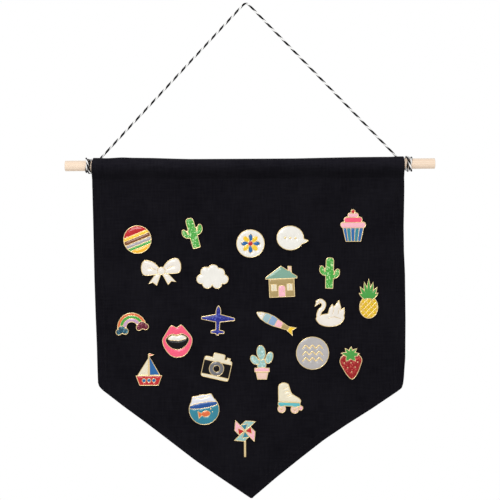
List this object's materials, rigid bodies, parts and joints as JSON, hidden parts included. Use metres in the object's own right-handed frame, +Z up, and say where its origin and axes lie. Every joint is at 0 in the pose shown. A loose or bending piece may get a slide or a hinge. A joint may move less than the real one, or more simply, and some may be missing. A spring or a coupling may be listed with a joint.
{
  "type": "pin display banner",
  "caption": "Pennant-shaped cloth banner on a wooden dowel, hung by a twine, with enamel pins whose posts pass through the cloth into rubber clutches.",
  "frame": {"origin": "hang point: the underside of the twine's bend, where it bears on the nail", "axes": "+X to the right along the dowel, +Y into the wall, +Z up"},
  "size_m": [0.3574, 0.0205, 0.4783],
  "materials": {
    "canvas": "matte",
    "birch": "satin",
    "twine": "matte",
    "plated_metal": "polished",
    "clutch_rubber": "matte"
  },
  "bodies": {
    "hanger": {"dowel": "birch", "hanging_cord": "twine", "left_hitch": "twine", "right_hitch": "twine"},
    "banner": {"banner_cloth": "canvas"},
    "stripe_clutch": {"stripe_clutch": "clutch_rubber"},
    "stripe_badge": {"stripe_badge": "plated_metal"},
    "leaning_cactus_clutch": {"leaning_cactus_clutch": "clutch_rubber"},
    "leaning_cactus_badge": {"leaning_cactus_badge": "plated_metal"},
    "rosette_clutch": {"rosette_clutch": "clutch_rubber"},
    "rosette_badge": {"rosette_badge": "plated_metal"},
    "bubble_clutch": {"bubble_clutch": "clutch_rubber"},
    "bubble_badge": {"bubble_badge": "plated_metal"},
    "cupcake_clutch": {"cupcake_clutch": "clutch_rubber"},
    "cupcake_badge": {"cupcake_badge": "plated_metal"},
    "bow_clutch": {"bow_clutch": "clutch_rubber"},
    "bow_badge": {"bow_badge": "plated_metal"},
    "cloud_clutch": {"cloud_clutch": "clutch_rubber"},
    "cloud_badge": {"cloud_badge": "plated_metal"},
    "house_clutch": {"house_clutch": "clutch_rubber"},
    "house_badge": {"house_badge": "plated_metal"},
    "upright_cactus_clutch": {"upright_cactus_clutch": "clutch_rubber"},
    "upright_cactus_badge": {"upright_cactus_badge": "plated_metal"},
    "pineapple_clutch": {"pineapple_clutch": "clutch_rubber"},
    "pineapple_badge": {"pineapple_badge": "plated_metal"},
    "rainbow_clutch": {"rainbow_clutch": "clutch_rubber"},
    "rainbow_badge": {"rainbow_badge": "plated_metal"},
    "lips_clutch": {"lips_clutch": "clutch_rubber"},
    "lips_badge": {"lips_badge": "plated_metal"},
    "aeroplane_clutch": {"aeroplane_clutch": "clutch_rubber"},
    "aeroplane_badge": {"aeroplane_badge": "plated_metal"},
    "fish_clutch": {"fish_clutch": "clutch_rubber"},
    "fish_badge": {"fish_badge": "plated_metal"},
    "swan_clutch": {"swan_clutch": "clutch_rubber"},
    "swan_badge": {"swan_badge": "plated_metal"},
    "sailboat_clutch": {"sailboat_clutch": "clutch_rubber"},
    "sailboat_badge": {"sailboat_badge": "plated_metal"},
    "camera_clutch": {"camera_clutch": "clutch_rubber"},
    "camera_badge": {"camera_badge": "plated_metal"},
    "potted_clutch": {"potted_clutch": "clutch_rubber"},
    "potted_badge": {"potted_badge": "plated_metal"},
    "wave_clutch": {"wave_clutch": "clutch_rubber"},
    "wave_badge": {"wave_badge": "plated_metal"},
    "strawberry_clutch": {"strawberry_clutch": "clutch_rubber"},
    "strawberry_badge": {"strawberry_badge": "plated_metal"},
    "fishbowl_clutch": {"fishbowl_clutch": "clutch_rubber"},
    "fishbowl_badge": {"fishbowl_badge": "plated_metal"},
    "skate_clutch": {"skate_clutch": "clutch_rubber"},
    "skate_badge": {"skate_badge": "plated_metal"},
    "pinwheel_clutch": {"pinwheel_clutch": "clutch_rubber"},
    "pinwheel_badge": {"pinwheel_badge": "plated_metal"}
  },
  "joints": [
    {"name": "banner_swing", "type": "hinge", "parent": "hanger", "child": "banner", "pos_m": [0, -0.0088, -0.1556], "axis": [-1, 0, 0], "range_deg": [-35, 100]},
    {"name": "stripe_turn", "type": "hinge", "parent": "banner", "child": "stripe_clutch", "pos_m": [-0.10699, -0.00714, -0.22394], "axis": [0, -1, 0], "continuous": true},
    {"name": "stripe_pull", "type": "slide", "parent": "stripe_clutch", "child": "stripe_badge", "axis": [0, -1, 0], "range_m": [0, 0.009]},
    {"name": "leaning_cactus_turn", "type": "hinge", "parent": "banner", "child": "leaning_cactus_clutch", "pos_m": [-0.0537, -0.00714, -0.21786], "axis": [0, -1, 0], "continuous": true},
    {"name": "leaning_cactus_pull", "type": "slide", "parent": "leaning_cactus_clutch", "child": "leaning_cactus_badge", "axis": [0, -1, 0], "range_m": [0, 0.009]},
    {"name": "rosette_turn", "type": "hinge", "parent": "banner", "child": "rosette_clutch", "pos_m": [0.0018, -0.00714, -0.2285], "axis": [0, -1, 0], "continuous": true},
    {"name": "rosette_pull", "type": "slide", "parent": "rosette_clutch", "child": "rosette_badge", "axis": [0, -1, 0], "range_m": [0, 0.009]},
    {"name": "bubble_turn", "type": "hinge", "parent": "banner", "child": "bubble_clutch", "pos_m": [0.04059, -0.00714, -0.22349], "axis": [0, -1, 0], "continuous": true},
    {"name": "bubble_pull", "type": "slide", "parent": "bubble_clutch", "child": "bubble_badge", "axis": [0, -1, 0], "range_m": [0, 0.009]},
    {"name": "cupcake_turn", "type": "hinge", "parent": "banner", "child": "cupcake_clutch", "pos_m": [0.1007, -0.00714, -0.21338], "axis": [0, -1, 0], "continuous": true},
    {"name": "cupcake_pull", "type": "slide", "parent": "cupcake_clutch", "child": "cupcake_badge", "axis": [0, -1, 0], "range_m": [0, 0.009]},
    {"name": "bow_turn", "type": "hinge", "parent": "banner", "child": "bow_clutch", "pos_m": [-0.0842, -0.00714, -0.25378], "axis": [0, -1, 0], "continuous": true},
    {"name": "bow_pull", "type": "slide", "parent": "bow_clutch", "child": "bow_badge", "axis": [0, -1, 0], "range_m": [0, 0.009]},
    {"name": "cloud_turn", "type": "hinge", "parent": "banner", "child": "cloud_clutch", "pos_m": [-0.03507, -0.00714, -0.26066], "axis": [0, -1, 0], "continuous": true},
    {"name": "cloud_pull", "type": "slide", "parent": "cloud_clutch", "child": "cloud_badge", "axis": [0, -1, 0], "range_m": [0, 0.009]},
    {"name": "house_turn", "type": "hinge", "parent": "banner", "child": "house_clutch", "pos_m": [0.03172, -0.00714, -0.26666], "axis": [0, -1, 0], "continuous": true},
    {"name": "house_pull", "type": "slide", "parent": "house_clutch", "child": "house_badge", "axis": [0, -1, 0], "range_m": [0, 0.009]},
    {"name": "upright_cactus_turn", "type": "hinge", "parent": "banner", "child": "upright_cactus_clutch", "pos_m": [0.07771, -0.00714, -0.25723], "axis": [0, -1, 0], "continuous": true},
    {"name": "upright_cactus_pull", "type": "slide", "parent": "upright_cactus_clutch", "child": "upright_cactus_badge", "axis": [0, -1, 0], "range_m": [0, 0.009]},
    {"name": "pineapple_turn", "type": "hinge", "parent": "banner", "child": "pineapple_clutch", "pos_m": [0.11512, -0.00714, -0.28468], "axis": [0, -1, 0], "continuous": true},
    {"name": "pineapple_pull", "type": "slide", "parent": "pineapple_clutch", "child": "pineapple_badge", "axis": [0, -1, 0], "range_m": [0, 0.009]},
    {"name": "rainbow_turn", "type": "hinge", "parent": "banner", "child": "rainbow_clutch", "pos_m": [-0.11375, -0.00714, -0.30456], "axis": [0, -1, 0], "continuous": true},
    {"name": "rainbow_pull", "type": "slide", "parent": "rainbow_clutch", "child": "rainbow_badge", "axis": [0, -1, 0], "range_m": [0, 0.009]},
    {"name": "lips_turn", "type": "hinge", "parent": "banner", "child": "lips_clutch", "pos_m": [-0.06919, -0.00714, -0.32223], "axis": [0, -1, 0], "continuous": true},
    {"name": "lips_pull", "type": "slide", "parent": "lips_clutch", "child": "lips_badge", "axis": [0, -1, 0], "range_m": [0, 0.009]},
    {"name": "aeroplane_turn", "type": "hinge", "parent": "banner", "child": "aeroplane_clutch", "pos_m": [-0.02997, -0.00714, -0.30248], "axis": [0, -1, 0], "continuous": true},
    {"name": "aeroplane_pull", "type": "slide", "parent": "aeroplane_clutch", "child": "aeroplane_badge", "axis": [0, -1, 0], "range_m": [0, 0.009]},
    {"name": "fish_turn", "type": "hinge", "parent": "banner", "child": "fish_clutch", "pos_m": [0.02473, -0.00714, -0.30678], "axis": [0, -1, 0], "continuous": true},
    {"name": "fish_pull", "type": "slide", "parent": "fish_clutch", "child": "fish_badge", "axis": [0, -1, 0], "range_m": [0, 0.009]},
    {"name": "swan_turn", "type": "hinge", "parent": "banner", "child": "swan_clutch", "pos_m": [0.07779, -0.00714, -0.29712], "axis": [0, -1, 0], "continuous": true},
    {"name": "swan_pull", "type": "slide", "parent": "swan_clutch", "child": "swan_badge", "axis": [0, -1, 0], "range_m": [0, 0.009]},
    {"name": "sailboat_turn", "type": "hinge", "parent": "banner", "child": "sailboat_clutch", "pos_m": [-0.09671, -0.00714, -0.35352], "axis": [0, -1, 0], "continuous": true},
    {"name": "sailboat_pull", "type": "slide", "parent": "sailboat_clutch", "child": "sailboat_badge", "axis": [0, -1, 0], "range_m": [0, 0.009]},
    {"name": "camera_turn", "type": "hinge", "parent": "banner", "child": "camera_clutch", "pos_m": [-0.03132, -0.00714, -0.34751], "axis": [0, -1, 0], "continuous": true},
    {"name": "camera_pull", "type": "slide", "parent": "camera_clutch", "child": "camera_badge", "axis": [0, -1, 0], "range_m": [0, 0.009]},
    {"name": "potted_turn", "type": "hinge", "parent": "banner", "child": "potted_clutch", "pos_m": [0.01203, -0.00714, -0.34326], "axis": [0, -1, 0], "continuous": true},
    {"name": "potted_pull", "type": "slide", "parent": "potted_clutch", "child": "potted_badge", "axis": [0, -1, 0], "range_m": [0, 0.009]},
    {"name": "wave_turn", "type": "hinge", "parent": "banner", "child": "wave_clutch", "pos_m": [0.06081, -0.00714, -0.3344], "axis": [0, -1, 0], "continuous": true},
    {"name": "wave_pull", "type": "slide", "parent": "wave_clutch", "child": "wave_badge", "axis": [0, -1, 0], "range_m": [0, 0.009]},
    {"name": "strawberry_turn", "type": "hinge", "parent": "banner", "child": "strawberry_clutch", "pos_m": [0.09775, -0.00714, -0.34369], "axis": [0, -1, 0], "continuous": true},
    {"name": "strawberry_pull", "type": "slide", "parent": "strawberry_clutch", "child": "strawberry_badge", "axis": [0, -1, 0], "range_m": [0, 0.009]},
    {"name": "fishbowl_turn", "type": "hinge", "parent": "banner", "child": "fishbowl_clutch", "pos_m": [-0.04398, -0.00714, -0.38758], "axis": [0, -1, 0], "continuous": true},
    {"name": "fishbowl_pull", "type": "slide", "parent": "fishbowl_clutch", "child": "fishbowl_badge", "axis": [0, -1, 0], "range_m": [0, 0.009]},
    {"name": "skate_turn", "type": "hinge", "parent": "banner", "child": "skate_clutch", "pos_m": [0.03695, -0.00714, -0.37911], "axis": [0, -1, 0], "continuous": true},
    {"name": "skate_pull", "type": "slide", "parent": "skate_clutch", "child": "skate_badge", "axis": [0, -1, 0], "range_m": [0, 0.009]},
    {"name": "pinwheel_turn", "type": "hinge", "parent": "banner", "child": "pinwheel_clutch", "pos_m": [-0.0048, -0.00714, -0.41069], "axis": [0, -1, 0], "continuous": true},
    {"name": "pinwheel_pull", "type": "slide", "parent": "pinwheel_clutch", "child": "pinwheel_badge", "axis": [0, -1, 0], "range_m": [0, 0.009]}
  ]
}
